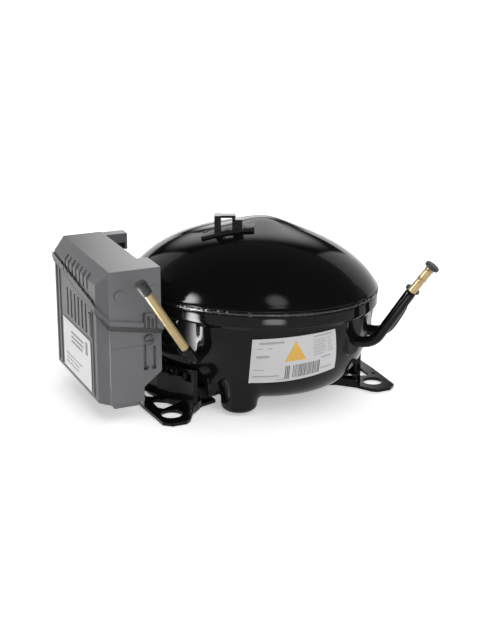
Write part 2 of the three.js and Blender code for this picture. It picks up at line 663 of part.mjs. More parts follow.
// A rib divides the head into a discharge chamber and a suction chamber.
function cylinderHead() {
  const low = CYLINDER_Z - HEAD_OPEN;
  const high = CYLINDER_Z + HEAD_OPEN;
  return cut(
    across(HEAD_START, HEAD_END),
    block([HEAD_START - 1, 1.5, low], [HEAD_END - 3, HEAD_OPEN, high]),
    block([HEAD_START - 1, -HEAD_OPEN, low], [HEAD_END - 3, -0.5, high]),
    rodZ(2.2, HEAD_START + 5, 7, CYLINDER_Z - HEAD_HALF - 1, CYLINDER_Z, 12),
    rodY(3, HEAD_START + 5, -HEAD_HALF - 1, -8, CYLINDER_Z, 12),
    screwHoles(HEAD_START - 1, HEAD_END + 1),
  );
}

const headScrew = ([y, z]) =>
  join(
    rodX(3.6, HEAD_END + GAP, HEAD_END + 3.4, y, CYLINDER_Z + z, 6),
    rodX(SCREW_R, BARREL_END - 9, HEAD_END + 1, y, CYLINDER_Z + z, 10),
  );

// A radial bar in one of the stator's slots.
function slotBar(index, inner, outer, width, low, high) {
  const bar = new THREE.BoxGeometry(outer - inner, width, high - low);
  bar.translate((inner + outer) / 2, 0, (low + high) / 2);
  return solidOf(bar.rotateZ((2 * Math.PI * (index + 0.5)) / SLOTS));
}
const slotBars = (...sizes) => Array.from({ length: SLOTS }, (_, i) => slotBar(i, ...sizes));

function statorCore() {
  const flat = CORE_HALF - CORE_CORNER;
  const corners = [[-CORE_HALF, -flat], [-flat, -CORE_HALF], [flat, -CORE_HALF], [CORE_HALF, -flat],
    [CORE_HALF, flat], [flat, CORE_HALF], [-flat, CORE_HALF], [-CORE_HALF, flat]];
  return cut(
    prismZ(corners, CORE_BOTTOM, CORE_TOP),
    rodZ(ROTOR_R + 0.7, 0, 0, CORE_BOTTOM - 1, CORE_TOP + 1, 32),
    ...slotBars(26, 39.5, 6.4, CORE_BOTTOM - 1, CORE_TOP + 1),
  );
}

function statorWinding() {
  const ring = (low, high) =>
    solidOf(turned([[29, low], [39, low], [39, high], [29, high], [29, low]], 32));
  return join(
    ring(CORE_TOP + GAP, 66),
    ring(19.5, CORE_BOTTOM - GAP),
    ...slotBars(30, 38.4, 5.4, CORE_BOTTOM - 1, CORE_TOP + 1),
  );
}

const rotor = () => cut(rodZ(ROTOR_R, 0, 0, 25.5, 60, 32), rodZ(BEARING_R, 0, 0, 20, 70, 24));

const oilPickup = () =>
  cut(join(rodZ(6.2, 0, 0, 18, 25.6, 20), rodZ(3.6, 0, 0, 12.5, 19, 16)), rodZ(1.6, 0, 0, 11, 24, 10));

const springSpots = SPRING_SEATS.map(({ degrees, springOut }) => {
  const [x, y] = around(degrees, springOut);
  return [x - CRANK_X, y];
});

// A flat ring under the core, with an arm and a pad above each spring.
function springBracket() {
  const low = 24.3;
  const high = CORE_BOTTOM - GAP;
  let bracket = rodZ(46.5, 0, 0, low, high, 32);
  for (const [x, y] of springSpots) {
    const reach = Math.hypot(x, y);
    const arm = new THREE.BoxGeometry(reach - 42, 11, high - low);
    arm.translate((reach + 42) / 2, 0, (low + high) / 2).rotateZ(Math.atan2(y, x));
    bracket = join(bracket, solidOf(arm), rodZ(7, x, y, low, high, 18));
  }
  return cut(bracket, rodZ(40.5, 0, 0, low - 1, high + 1, 28));
}

class Helix extends THREE.Curve {
  constructor(x, y, radius, turns, low, high) {
    super();
    Object.assign(this, { x, y, radius, turns, low, high });
  }
  getPoint(share, target = new THREE.Vector3()) {
    const angle = 2 * Math.PI * this.turns * share;
    const z = this.low + (this.high - this.low) * share;
    return target.set(this.x + this.radius * Math.cos(angle), this.y + this.radius * Math.sin(angle), z);
  }
}

function suspensionSpring([x, y]) {
  const wire = 0.9;
  const turns = 4;
  const low = POCKET_BOTTOM + SHELL_WALL + GAP + wire;
  return barAlong(new Helix(x, y, 6.6, turns, low, 24 - wire), wire, turns * 9, 5);
}

function suctionMuffler() {
  const body = block([36, -38, 79], [63, -HEAD_HALF - 1.2, 99]);
  const neck = rodX(3, 62, 68, -27, 93, 12);
  const inlet = rodX(3.4, 62, 67, -32, 84, 12);
  return cut(join(body, neck, inlet), rodX(1.9, 58, 71, -27, 93, 10), rodX(2.4, 58, 71, -32, 84, 10));
}

// The discharge tube inside the shell loops down and round to its connector, so that it can flex.
function shockTube() {
  const start = HEAD_START + 5;
  return pipe(
    [[start, 7, CYLINDER_Z - HEAD_HALF - GAP], [start, 7.5, 62], [start - 3, 12, 52], [start - 9, 16, 46],
      [start - 4, 12, 41], [start + 9, 6, 45], [start + 22, 3, 53], [start + 27, 2.5, 54]],
    1.9,
    22,
    6,
  );
}

// ---- Assembly ----
function addShell() {
  const openings = [rodX(TERMINAL_R + 0.4, -110, -60, TERMINAL_Y, TERMINAL_Z, 24)];
  for (const { route } of SERVICE_TUBES) {
    openings.push(strut(past(route[1], route[0], 10), route[1], CONNECTOR_R + GAP));
  }
  piece("lower_shell", cut(lowerShell(), ...openings.map(toShell)), blackPaint, shellFrame);
  piece("upper_shell", upperShell(), blackPaint, shellFrame);
  piece("weld_bead", weldBead(), weldPaint, shellFrame);

  const sector = prismZ([[0, 0], around(-74, 160), around(-50, 160), around(-27, 160)], 30, 66);
  const label = cut(common(shellPlug(1), sector), shellPlug(GAP));
  piece("nameplate", label, paper, shellFrame);
}

function addFittings() {
  piece("left_foot_plate", footPlate(-1), blackPaint);
  piece("right_foot_plate", footPlate(1), blackPaint);
  SERVICE_TUBES.forEach(addServiceTube);

  const body = rodX(TERMINAL_R, -93.4, -80, TERMINAL_Y, TERMINAL_Z);
  const pins = terminalPins.map(([y, z]) => rodX(1.2, -97.6, -72, y, z, 10));
  piece("hermetic_terminal", join(body, ...pins), zinc);
  piece("terminal_fence", terminalFence(), blackPaint);
  piece("motor_plug", motorPlug(), blackPlastic);
}

// A strip that follows the dome, and a loop for the mains lead on it.
function topClip() {
  const x = -25;
  const y = -2;
  const strip = common(block([-20, -4.4, 110], [20, 4.4, 140]),
    solidOf(geometryOf(toOuter(shellPlug(0))).translate(-x, -y, 2.6).rotateZ(-CLIP_TURN)));
  const loop = join(
    block([-10, -4.6, 124], [-5, 4.6, 141.5]),
    block([-10, -3.4, 139.6], [6, 3.4, 141.5]),
    block([3.4, -4, 124], [11, 4, 138.4]),
    block([3.4, -2, 138], [5.4, 2, 140]),
  );
  const placed = solidOf(geometryOf(strip.add(loop)).rotateZ(CLIP_TURN).translate(x, y, 0));
  return cut(placed, solidOf(geometryOf(toOuter(shellPlug(0))).translate(0, 0, 0.5)));
}

function addPump() {
  const add = (name, solid, material) => piece(name, solid, material, pumpFrame);
  add("cylinder_block", cylinderBlock(), castIron);
  add("crankshaft", crankshaft(), steel);
  add("big_end_bush", bigEndBush(), steel);
  add("connecting_rod", connectingRod(), steel);
  add("wrist_pin", rodZ(3.6, PISTON_X, 0, CYLINDER_Z - 10.8, CYLINDER_Z + 10.8, 16), steel);
  add("piston", piston(), steel);
  add("valve_plate", valvePlate(), steel);
  add("suction_reed", reed(PLATE_START + 0.25, -5), steel);
  add("discharge_reed", reed(GASKET_START, 6.4), steel);
  add("head_gasket", headGasket(), gasketFibre);
  add("cylinder_head", cylinderHead(), castIron);
  screwSpots.forEach((spot, i) => add("head_screw_" + (i + 1), headScrew(spot), zinc));
  add("stator_core", statorCore(), lamination);
  add("stator_winding", statorWinding(), enamelWire);
  add("rotor", rotor(), aluminium);
  add("oil_pickup", oilPickup(), blackPlastic);
  add("spring_bracket", springBracket(), zinc);
  springSpots.forEach((spot, i) => add("suspension_spring_" + (i + 1), suspensionSpring(spot), steel));
  add("suction_muffler", suctionMuffler(), palePlastic);
  add("shock_tube", shockTube(), copper);
}

addShell();
addFittings();
piece("top_clip", topClip(), blackPaint);
addDriveBox();
addPump();

const bounds = new THREE.Box3().setFromObject(compressor, true);
const middle = bounds.getCenter(new THREE.Vector3());
compressor.position.set(-middle.x, -middle.y, -bounds.min.z);

export default compressor;
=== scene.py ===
import json
import math

import bmesh
import bpy
import numpy as np
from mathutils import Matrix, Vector

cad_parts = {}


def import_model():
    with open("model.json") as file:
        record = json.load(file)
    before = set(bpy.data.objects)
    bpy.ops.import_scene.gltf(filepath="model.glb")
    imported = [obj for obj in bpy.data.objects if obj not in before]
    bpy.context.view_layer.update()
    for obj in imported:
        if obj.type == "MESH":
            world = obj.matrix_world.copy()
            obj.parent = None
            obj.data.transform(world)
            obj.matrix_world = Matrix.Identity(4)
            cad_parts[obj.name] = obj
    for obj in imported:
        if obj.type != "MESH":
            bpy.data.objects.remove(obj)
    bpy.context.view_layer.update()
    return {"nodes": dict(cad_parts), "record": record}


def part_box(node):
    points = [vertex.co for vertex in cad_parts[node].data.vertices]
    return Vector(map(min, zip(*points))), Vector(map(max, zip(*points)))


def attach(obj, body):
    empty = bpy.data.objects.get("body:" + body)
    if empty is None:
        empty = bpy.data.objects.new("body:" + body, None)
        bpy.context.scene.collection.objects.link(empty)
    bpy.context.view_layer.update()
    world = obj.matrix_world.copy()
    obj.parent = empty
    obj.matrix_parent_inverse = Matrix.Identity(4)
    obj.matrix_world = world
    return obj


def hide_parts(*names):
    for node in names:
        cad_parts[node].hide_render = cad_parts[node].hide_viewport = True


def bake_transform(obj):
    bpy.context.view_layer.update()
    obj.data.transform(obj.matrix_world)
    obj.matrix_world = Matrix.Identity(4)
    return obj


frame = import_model()
MM = 0.001

# The outer layout is about the centre of the four foot holes, which is midway between the plates.
_left, _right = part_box("left_foot_plate"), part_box("right_foot_plate")
CENTRE = Vector(((_left[0].x + _right[1].x) / 2, (_left[0].y + _left[1].y) / 2, 0))

# The shell's long axis is turned 45 degrees, about a point beside that centre.
SHELL_SPOT = (-2.5, 5.0)
SHELL_TURN = -math.pi / 4
SHELL_LONG, SHELL_SHORT = 99.0, 79.5
SEAM_Z = 84.0
DOME_HEIGHT = 46.5
BOWL_BOTTOM, BOWL_TOP, BOWL_SHARE = 6.0, 72.0, 0.97


def world(points):
    """Points in millimetres about the foot pattern's centre, as metres in the row frame."""
    return np.asarray(points, float) * MM + np.array(CENTRE)


def from_shell(points):
    """Points in the shell's turned frame, in the outer frame's millimetres."""
    p = np.asarray(points, float)
    c, s = math.cos(SHELL_TURN), math.sin(SHELL_TURN)
    x = SHELL_SPOT[0] + c * p[..., 0] - s * p[..., 1]
    y = SHELL_SPOT[1] + s * p[..., 0] + c * p[..., 1]
    return np.stack([x, y, p[..., 2]], axis=-1)


def to_shell(points):
    p = np.asarray(points, float)
    c, s = math.cos(SHELL_TURN), math.sin(SHELL_TURN)
    dx, dy = p[..., 0] - SHELL_SPOT[0], p[..., 1] - SHELL_SPOT[1]
    return np.stack([c * dx + s * dy, -s * dx + c * dy, p[..., 2]], axis=-1)


# ---- Materials ----
BROAD_STEP = 14  # how many times coarser the tint's noise is than the grain
BUMP_HEIGHT = 0.0004
FLOOR_GLOW = 0.4


def node(tree, kind, **inputs):
    made = tree.nodes.new(kind)
    for name, value in inputs.items():
        if hasattr(made, name):
            setattr(made, name, value)
        else:
            made.inputs[name].default_value = value
    return made


def material(name, colour, roughness, metallic=0.0, spread=0.15, grain=400.0, bump=0.02, ior=1.5,
             mottle=0.12, stretch=(1, 1, 1)):
    """A surface whose colour, roughness and height all vary a little, by noise at the grain's scale."""
    made = bpy.data.materials.new(name)
    made.use_nodes = True
    tree = made.node_tree
    shader = tree.nodes["Principled BSDF"]
    shader.inputs["Metallic"].default_value = metallic
    shader.inputs["IOR"].default_value = ior
    link = tree.links.new
    place = node(tree, "ShaderNodeTexCoord")
    scale = node(tree, "ShaderNodeMapping")
    scale.inputs["Scale"].default_value = stretch
    link(place.outputs["Object"], scale.inputs["Vector"])
    fine = node(tree, "ShaderNodeTexNoise", Scale=grain, Detail=4.0, Roughness=0.6)
    broad = node(tree, "ShaderNodeTexNoise", Scale=grain / BROAD_STEP, Detail=3.0)
    link(scale.outputs["Vector"], fine.inputs["Vector"])
    link(scale.outputs["Vector"], broad.inputs["Vector"])
    tint = node(tree, "ShaderNodeMix", data_type="RGBA")
    tint.inputs["A"].default_value = [v * (1 - mottle) for v in colour[:3]] + [1]
    tint.inputs["B"].default_value = [min(1, v * (1 + mottle)) for v in colour[:3]] + [1]
    link(broad.outputs["Fac"], tint.inputs["Factor"])
    link(tint.outputs["Result"], shader.inputs["Base Color"])
    rough = node(tree, "ShaderNodeMapRange")
    rough.inputs["To Min"].default_value = roughness * (1 - spread)
    rough.inputs["To Max"].default_value = roughness * (1 + spread)
    link(fine.outputs["Fac"], rough.inputs["Value"])
    link(rough.outputs["Result"], shader.inputs["Roughness"])
    lift = node(tree, "ShaderNodeBump", Strength=bump)
    lift.inputs["Distance"].default_value = BUMP_HEIGHT
    link(fine.outputs["Fac"], lift.inputs["Height"])
    link(lift.outputs["Normal"], shader.inputs["Normal"])
    return made


ENAMEL = material("black_enamel", (0.0048, 0.0048, 0.005), 0.1, spread=0.2, grain=260, bump=0.012, ior=1.25)
WELD = material("painted_weld", (0.003, 0.003, 0.0032), 0.16, spread=0.4, grain=900, bump=0.5, ior=1.6)
COPPER = material("drawn_copper", (0.41, 0.31, 0.155), 0.33, 0.45, spread=0.3, grain=500, bump=0.05,
                  stretch=(1, 1, 0.2), mottle=0.1)
RUBBER = material("matt_rubber", (0.016, 0.016, 0.017), 0.5, spread=0.2, grain=900, bump=0.12)
DRIVE = material("smoky_grey_plastic", (0.142, 0.142, 0.15), 0.2, spread=0.25, grain=900, bump=0.05,
                 mottle=0.07, ior=1.22)
LABEL = material("printed_film", (0.5, 0.5, 0.51), 0.42, spread=0.15, grain=700, bump=0.01, mottle=0.02)
DRIVE_FILM = material("white_film", (0.93, 0.93, 0.94), 0.42, spread=0.15, grain=700, bump=0.01, mottle=0.02)
INK = material("grey_ink", (0.06, 0.06, 0.065), 0.5, spread=0.1, grain=700, bump=0.01)
PALE_INK = material("pale_grey_ink", (0.3, 0.3, 0.31), 0.5, spread=0.1, grain=700, bump=0.01)
AMBER = material("amber_ink", (0.62, 0.36, 0.06), 0.45, spread=0.1, grain=700, bump=0.01)
BLACK_PLASTIC = material("black_plastic", (0.014, 0.014, 0.015), 0.4, spread=0.2, grain=1000, bump=0.05)
DARK_ZINC = material("dark_zinc", (0.07, 0.07, 0.075), 0.4, 0.7, spread=0.3, grain=900, bump=0.05)
ZINC = material("zinc_plate", (0.5, 0.51, 0.53), 0.35, 1.0, spread=0.3, grain=900, bump=0.05)

SLOT_SURFACES = {
    "shell_paint": ENAMEL,
    "weld_paint": WELD,
    "tube_copper": COPPER,
    "plug_rubber": RUBBER,
    "drive_plastic": DRIVE,
    "label_paper": LABEL,
    "black_plastic": BLACK_PLASTIC,
    "zinc_plate": ZINC,
    "aluminium": material("cast_aluminium", (0.66, 0.67, 0.68), 0.4, 1.0, grain=700, bump=0.12),
    "cast_iron": material("machined_iron", (0.17, 0.17, 0.185), 0.45, 1.0, grain=500, bump=0.2),
    "ground_steel": material("ground_steel", (0.5, 0.51, 0.53), 0.22, 1.0, grain=900, bump=0.03,
                             stretch=(1, 1, 8)),
    "lamination": material("stacked_steel", (0.28, 0.29, 0.31), 0.4, 1.0, grain=300, bump=0.4,
                           stretch=(0.1, 0.1, 12)),
    "enamel_wire": material("enamelled_wire", (0.5, 0.19, 0.08), 0.3, 0.6, grain=800, bump=0.5,
                            stretch=(1, 1, 6)),
    "board_green": material("circuit_board", (0.04, 0.17, 0.08), 0.4, grain=600, bump=0.1),
    "beige_resin": material("beige_resin", (0.72, 0.58, 0.38), 0.35, grain=500, bump=0.04),
    "blue_sleeve": material("shrink_sleeve", (0.03, 0.05, 0.1), 0.3, grain=400, bump=0.04),
    "pale_plastic": material("pale_plastic", (0.6, 0.59, 0.55), 0.4, grain=600, bump=0.05),
    "gasket_fibre": material("gasket_fibre", (0.22, 0.21, 0.17), 0.7, grain=900, bump=0.3),
}
FLOOR = material("studio_floor", (0.93, 0.93, 0.93), 0.7, spread=0.05, grain=8, bump=0.0, mottle=0.004)
FLOOR.node_tree.nodes["Principled BSDF"].inputs["Emission Color"].default_value = (1, 1, 1, 1)
FLOOR.node_tree.nodes["Principled BSDF"].inputs["Emission Strength"].default_value = FLOOR_GLOW


def finish_frame():
    """Gives every node of the frame a procedural surface for its slot."""
    for part in frame["record"]["subparts"]:
        for held in frame["nodes"][part["node"]].material_slots:
            held.material = SLOT_SURFACES[part["material_slot"]]


# ---- Mesh helpers ----
DIRECTION_STEPS = 60  # normals that round to the same step count as one direction


def make(name, vertices, faces, surface, body="shell", replaces=(), slot=None, sharp=35):
    """A mesh from points in the outer frame's millimetres, riding on a body."""
    mesh = bpy.data.meshes.new(name)
    mesh.from_pydata(world(vertices).tolist(), [], [list(map(int, f)) for f in faces])
    mesh.validate()
    made = bpy.data.objects.new(name, mesh)
    bpy.context.scene.collection.objects.link(made)
    return dress(made, surface, body, replaces, sharp)


def direction_key(normal):
    return tuple(round(v * DIRECTION_STEPS) for v in normal)


def dress(made, surface, body, replaces, sharp, walls=()):
    """Shading, material, body and replaced nodes. Faces that look the way a wall does stay flat.

    A piece given no body is left unattached."""
    work = bmesh.new()
    work.from_mesh(made.data)
    bmesh.ops.recalc_face_normals(work, faces=work.faces)
    limit = math.radians(sharp)
    for face in work.faces:
        face.smooth = direction_key(face.normal) not in walls
    for edge in work.edges:
        edge.smooth = len(edge.link_faces) < 2 or edge.calc_face_angle(0) < limit
    work.to_mesh(made.data)
    work.free()
    made.data.materials.clear()
    made.data.materials.append(surface)
    if body:
        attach(made, body)
    if replaces:
        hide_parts(*replaces)
    return made


def grid_faces(rows, columns, closed=True):
    faces = []
    span = columns if closed else columns - 1
    for r in range(rows - 1):
        for c in range(span):
            d = (c + 1) % columns
            faces.append((r * columns + c, r * columns + d, (r + 1) * columns + d, (r + 1) * columns + c))
    return faces


def smoothstep(low, high, value):
    t = np.clip((np.asarray(value, float) - low) / (high - low), 0, 1)
    return t * t * (3 - 2 * t)


# ---- Camera, light and floor ----
CAMERA_YAW = -0.414
PALE_SIDE = (0.2, 0.98, 0)  # the direction in which the studio's wall is palest
DARK_SIDE = 0.08
ZENITH = 0.17
PANEL_FALL = 0.6  # share of a panel's half size over which it fades out


def add_camera():
    data = bpy.data.cameras.new("camera")
    data.sensor_width = 36
    data.lens = 82.0
    data.clip_end = 20
    camera = bpy.data.objects.new("camera", data)
    camera.location = world([-434.3, -961.2, 409.5])
    camera.rotation_euler = (math.pi / 2 - 0.321, 0, CAMERA_YAW)
    bpy.context.scene.collection.objects.link(camera)
    bpy.context.scene.camera = camera


def add_world():
    """A studio whose walls are pale behind the object, and dark in front of it and overhead."""
    surroundings = bpy.data.worlds.new("studio")
    bpy.context.scene.world = surroundings
    surroundings.use_nodes = True
    tree = surroundings.node_tree
    link = tree.links.new
    place = node(tree, "ShaderNodeTexCoord")
    split = node(tree, "ShaderNodeSeparateXYZ")
    link(place.outputs["Generated"], split.inputs["Vector"])
    toward = node(tree, "ShaderNodeVectorMath", operation="DOT_PRODUCT")
    toward.inputs[1].default_value = PALE_SIDE
    link(place.outputs["Generated"], toward.inputs[0])
    side = node(tree, "ShaderNodeMapRange", interpolation_type="SMOOTHSTEP")
    for name, value in (("From Min", -0.2), ("From Max", 0.75), ("To Min", DARK_SIDE), ("To Max", 1.0)):
        side.inputs[name].default_value = value
    link(toward.outputs["Value"], side.inputs["Value"])
    ramp = node(tree, "ShaderNodeValToRGB")
    link(split.outputs["Z"], ramp.inputs["Fac"])
    stops = ramp.color_ramp.elements
    stops[0].position, stops[0].color = 0.0, (1, 1, 1, 1)
    stops[1].position, stops[1].color = 1.0, (ZENITH, ZENITH, ZENITH, 1)
    for at, level in ((0.3, 1.0), (0.5, 0.5), (0.7, ZENITH * 1.3)):
        stop = stops.new(at)
        stop.color = (level, level, level, 1)
    tint = node(tree, "ShaderNodeMix", data_type="RGBA", blend_type="MULTIPLY")
    tint.inputs["Factor"].default_value = 1
    link(ramp.outputs["Color"], tint.inputs["A"])
    link(side.outputs["Result"], tint.inputs["B"])
    link(tint.outputs["Result"], tree.nodes["Background"].inputs["Color"])
    tree.nodes["Background"].inputs["Strength"].default_value = 1.0


def add_floor():
    """One sheet: a wide floor that curves up into a wall far behind."""
    turn, reach, side, tall = 2.0, 3.0, 9.0, 6.0
    section = [(-6.0, 0.0), (reach, 0.0)]
    section += [(reach + turn * math.sin(a), turn * (1 - math.cos(a)))
                for a in np.linspace(0, math.pi / 2, 16)[1:]]
    section.append((reach + turn, tall))
    yaw = CAMERA_YAW
    vertices, faces = [], []
    for along, height in section:
        for across in (-side, side):
            x = math.cos(yaw) * across - math.sin(yaw) * along
            y = math.sin(yaw) * across + math.cos(yaw) * along
            vertices.append((x, y, height - 0.0003))
    for i in range(len(section) - 1):
        faces.append((2 * i, 2 * i + 1, 2 * i + 3, 2 * i + 2))
    mesh = bpy.data.meshes.new("floor")
    mesh.from_pydata(vertices, [], faces)
    for face in mesh.polygons:
        face.use_smooth = True
    floor = bpy.data.objects.new("floor", mesh)
    bpy.context.scene.collection.objects.link(floor)
    mesh.materials.append(FLOOR)


def add_panel(name, spot, aim, size, radiance):
    """A softbox: a glowing sheet, brightest in its middle, that shows only in reflections."""
    mesh = bpy.data.meshes.new(name)
    wide, tall = size[0] / 2, size[1] / 2
    corners = [(-wide, -tall, 0), (wide, -tall, 0), (wide, tall, 0), (-wide, tall, 0)]
    mesh.from_pydata(corners, [], [(0, 1, 2, 3)])
    made = bpy.data.objects.new(name, mesh)
    made.location = world(spot)
    made.rotation_euler = (Vector(world(aim)) - made.location).to_track_quat("Z", "Y").to_euler()
    bpy.context.scene.collection.objects.link(made)
    made.visible_camera = False
    made.visible_diffuse = False
    made.visible_shadow = False
    glow = bpy.data.materials.new(name)
    glow.use_nodes = True
    tree = glow.node_tree
    tree.nodes.clear()
    link = tree.links.new
    place = node(tree, "ShaderNodeTexCoord")
    stretch = node(tree, "ShaderNodeMapping")
    stretch.inputs["Scale"].default_value = (1 / wide, 1 / tall, 1)
    ball = node(tree, "ShaderNodeTexGradient", gradient_type="SPHERICAL")
    fall = node(tree, "ShaderNodeMapRange", interpolation_type="SMOOTHSTEP")
    fall.inputs["From Max"].default_value = PANEL_FALL
    fall.inputs["To Max"].default_value = radiance
    facing = node(tree, "ShaderNodeNewGeometry")
    front = node(tree, "ShaderNodeMath", operation="SUBTRACT")
    front.inputs[0].default_value = 1
    both = node(tree, "ShaderNodeMath", operation="MULTIPLY")
    light = node(tree, "ShaderNodeEmission")
    out = node(tree, "ShaderNodeOutputMaterial")
    link(place.outputs["Object"], stretch.inputs["Vector"])
    link(stretch.outputs["Vector"], ball.inputs["Vector"])
    link(ball.outputs["Fac"], fall.inputs["Value"])
    link(facing.outputs["Backfacing"], front.inputs[1])
    link(fall.outputs["Result"], both.inputs[0])
    link(front.outputs["Value"], both.inputs[1])
    link(both.outputs["Value"], light.inputs["Strength"])
    link(light.outputs["Emission"], out.inputs["Surface"])
    mesh.materials.append(glow)


def add_sun(name, source, strength, softness):
    """Even light from a far source, which isn't mirrored in the gloss paint."""
    data = bpy.data.lights.new(name, "SUN")
    data.energy = strength
    data.angle = math.radians(softness)
    made = bpy.data.objects.new(name, data)
    made.rotation_euler = Vector(source).to_track_quat("Z", "Y").to_euler()
    made.visible_glossy = False
    bpy.context.scene.collection.objects.link(made)


def add_lights():
    add_sun("high_sun", (0.2, -0.3, 0.93), 1.5, 70)
    add_sun("front_sun", (0.1, -0.95, 0.3), 1.25, 50)
    add_panel("back_wall", (700, 1924, 1434), (0, 0, 110), (2.6, 1.9), 2.8)
    add_panel("low_glow", (531, 1315, 488), (0, 0, 20), (0.7, 0.5), 3.2)
    add_panel("left_box", (-670, -5, 375), (-66, -35, 89), (0.3, 0.4), 36)
    add_panel("front_box", (-140, -520, 600), (-26, -69, 90), (0.24, 0.36), 5)
    add_panel("front_card", (-95, -280, 6), (-26, -69, 79), (0.11, 0.08), 14)
    add_panel("side_card", (-152, -50, 34), (-60, -92, 34), (0.04, 0.08), 48)


# ---- Shell ----
SHELL_COLUMNS = 360
DOME_OUT, DOME_UP = 2.1, 1.4  # exponents of the dome's outline, across and up
BOWL_OUT, BOWL_DOWN = 6, 1.6  # the same for the bowl
PAD_SHARE = 0.955
# flat pads for the connectors: angle, half width, lowest point
PADS = [(-103, 10.5, 42), (-17, 9.5, 43), (4, 9.5, 43)]
# cups pressed into the bowl: angle, distance out, radius, lowest point, where the domed top starts
CUPS = [(-78, 57, 13.8, 1.5, 21), (42, 58, 13.8, 1.5, 21), (162, 59, 13.8, 1.5, 21), (-97, 62, 5, 12, 25)]
CUP_EDGE, CUP_BLEND = 0.33, 0.35  # its rolled edge and its join to the bowl, as shares of its radius


def dome_height(out):
    return DOME_HEIGHT * np.clip(1 - np.clip(out, 0, 1) ** DOME_OUT, 0, None) ** (1 / DOME_UP)


def bowl_share(z):
    """The bowl's outline at a height, as a share of the rim's."""
    left = np.clip((BOWL_TOP - np.asarray(z, float)) / (BOWL_TOP - BOWL_BOTTOM), 0, 1)
    return BOWL_SHARE * (1 - left ** BOWL_DOWN) ** (1 / BOWL_OUT)


def swell(x, y):
    """A low, round rise near the dome's middle."""
    return 4.2 * np.exp(-(((x - 4.6) ** 2 + (y - 17) ** 2) / 15 ** 2) / 2)


def oval_rows(profile, columns):
    """Rings of (share of the rim, height) points, in the shell's frame."""
    angle = np.linspace(0, 2 * np.pi, columns, endpoint=False)
    share, height = np.array(profile, float).T
    x = SHELL_LONG * share[:, None] * np.cos(angle)
    y = SHELL_SHORT * share[:, None] * np.sin(angle)
    z = np.repeat(height[:, None], columns, axis=1)
    return np.stack([x, y, z], axis=-1)


def pads(points):
    """Flat pads are pressed into the wall where each connector is brazed on."""
    for degrees, half, low in PADS:
        a = math.radians(degrees)
        normal = np.array([math.cos(a) / SHELL_LONG, math.sin(a) / SHELL_SHORT])
        normal /= np.linalg.norm(normal)
        side = np.array([-normal[1], normal[0]])
        base = np.array([SHELL_LONG * math.cos(a), SHELL_SHORT * math.sin(a)])
        flat = base @ normal * PAD_SHARE
        across = (points[..., :2] - base) @ side
        out = points[..., :2] @ normal
        bottom = low + half - np.sqrt(np.clip(half ** 2 - across ** 2, 0, None))
        mask = (1 - smoothstep(half - 1.2, half, np.abs(across))) * (out > 0)
        mask = mask * smoothstep(bottom - 0.6, bottom + 0.6, points[..., 2])
        move = (flat - out) * mask * (points[..., 2] < BOWL_TOP + 0.5)
        points[..., 0] += move * normal[0]
        points[..., 1] += move * normal[1]
    return points


def bowl_distance(p):
    """Roughly how far points are outside the bowl, in millimetres: a smooth join of bowl and spring cups."""
    share = np.hypot(p[..., 0] / SHELL_LONG, p[..., 1] / SHELL_SHORT) / BOWL_SHARE
    left = 1 - (p[..., 2] - BOWL_BOTTOM) / (BOWL_TOP - BOWL_BOTTOM)
    left = np.clip(left, 1e-6, None)
    field = share ** BOWL_OUT + left ** BOWL_DOWN - 1
    spread = np.hypot(p[..., 0], p[..., 1]) + 1e-6
    slope = BOWL_OUT * share ** BOWL_OUT / spread
    rise = BOWL_DOWN * left ** (BOWL_DOWN - 1) / (BOWL_TOP - BOWL_BOTTOM)
    distance = field / np.hypot(slope, rise)
    for degrees, out, cup_radius, low, high in CUPS:
        a = math.radians(degrees)
        radial = np.hypot(p[..., 0] - out * math.cos(a), p[..., 1] - out * math.sin(a))
        # a round post with a rolled lower edge and a domed top
        edge = CUP_EDGE * cup_radius
        over = np.stack([np.clip(radial - (cup_radius - edge), 0, None),
                         np.clip((low + edge) - p[..., 2], 0, None)])
        post = np.hypot(*over) - edge
        dome = np.sqrt(radial ** 2 + np.clip(p[..., 2] - high, 0, None) ** 2) - cup_radius
        cup = np.maximum(post, dome)
        k = CUP_BLEND * cup_radius
        h = np.clip(0.5 + 0.5 * (distance - cup) / k, 0, 1)
        distance = distance * (1 - h) + cup * h - k * h * (1 - h)
    return distance


def lower_bowl(columns, rows):
    """The bowl below a level, found along rays from a point on its axis."""
    level = 36.0
    crowding = 0.92  # below 1, rows lie closer together toward the pole
    longest = 1.4  # every ray leaves the bowl before this many times its own length
    halvings = 44
    angle = np.linspace(0, 2 * np.pi, columns, endpoint=False)
    down = (np.linspace(0, 1, rows) ** crowding) * math.pi / 2
    x = np.cos(down)[:, None] * np.cos(angle) * SHELL_LONG
    y = np.cos(down)[:, None] * np.sin(angle) * SHELL_SHORT
    z = -np.sin(down)[:, None] * np.ones(columns) * (level - BOWL_BOTTOM) * 1.35
    ray = np.stack([x, y, z], axis=-1)
    near = np.zeros(ray.shape[:2])
    far = np.full(ray.shape[:2], longest)
    start = np.array([0, 0, level])
    for _ in range(halvings):
        middle = (near + far) / 2
        inside = bowl_distance(start + ray * middle[..., None]) < 0
        near = np.where(inside, middle, near)
        far = np.where(inside, far, middle)
    return start + ray * near[..., None]


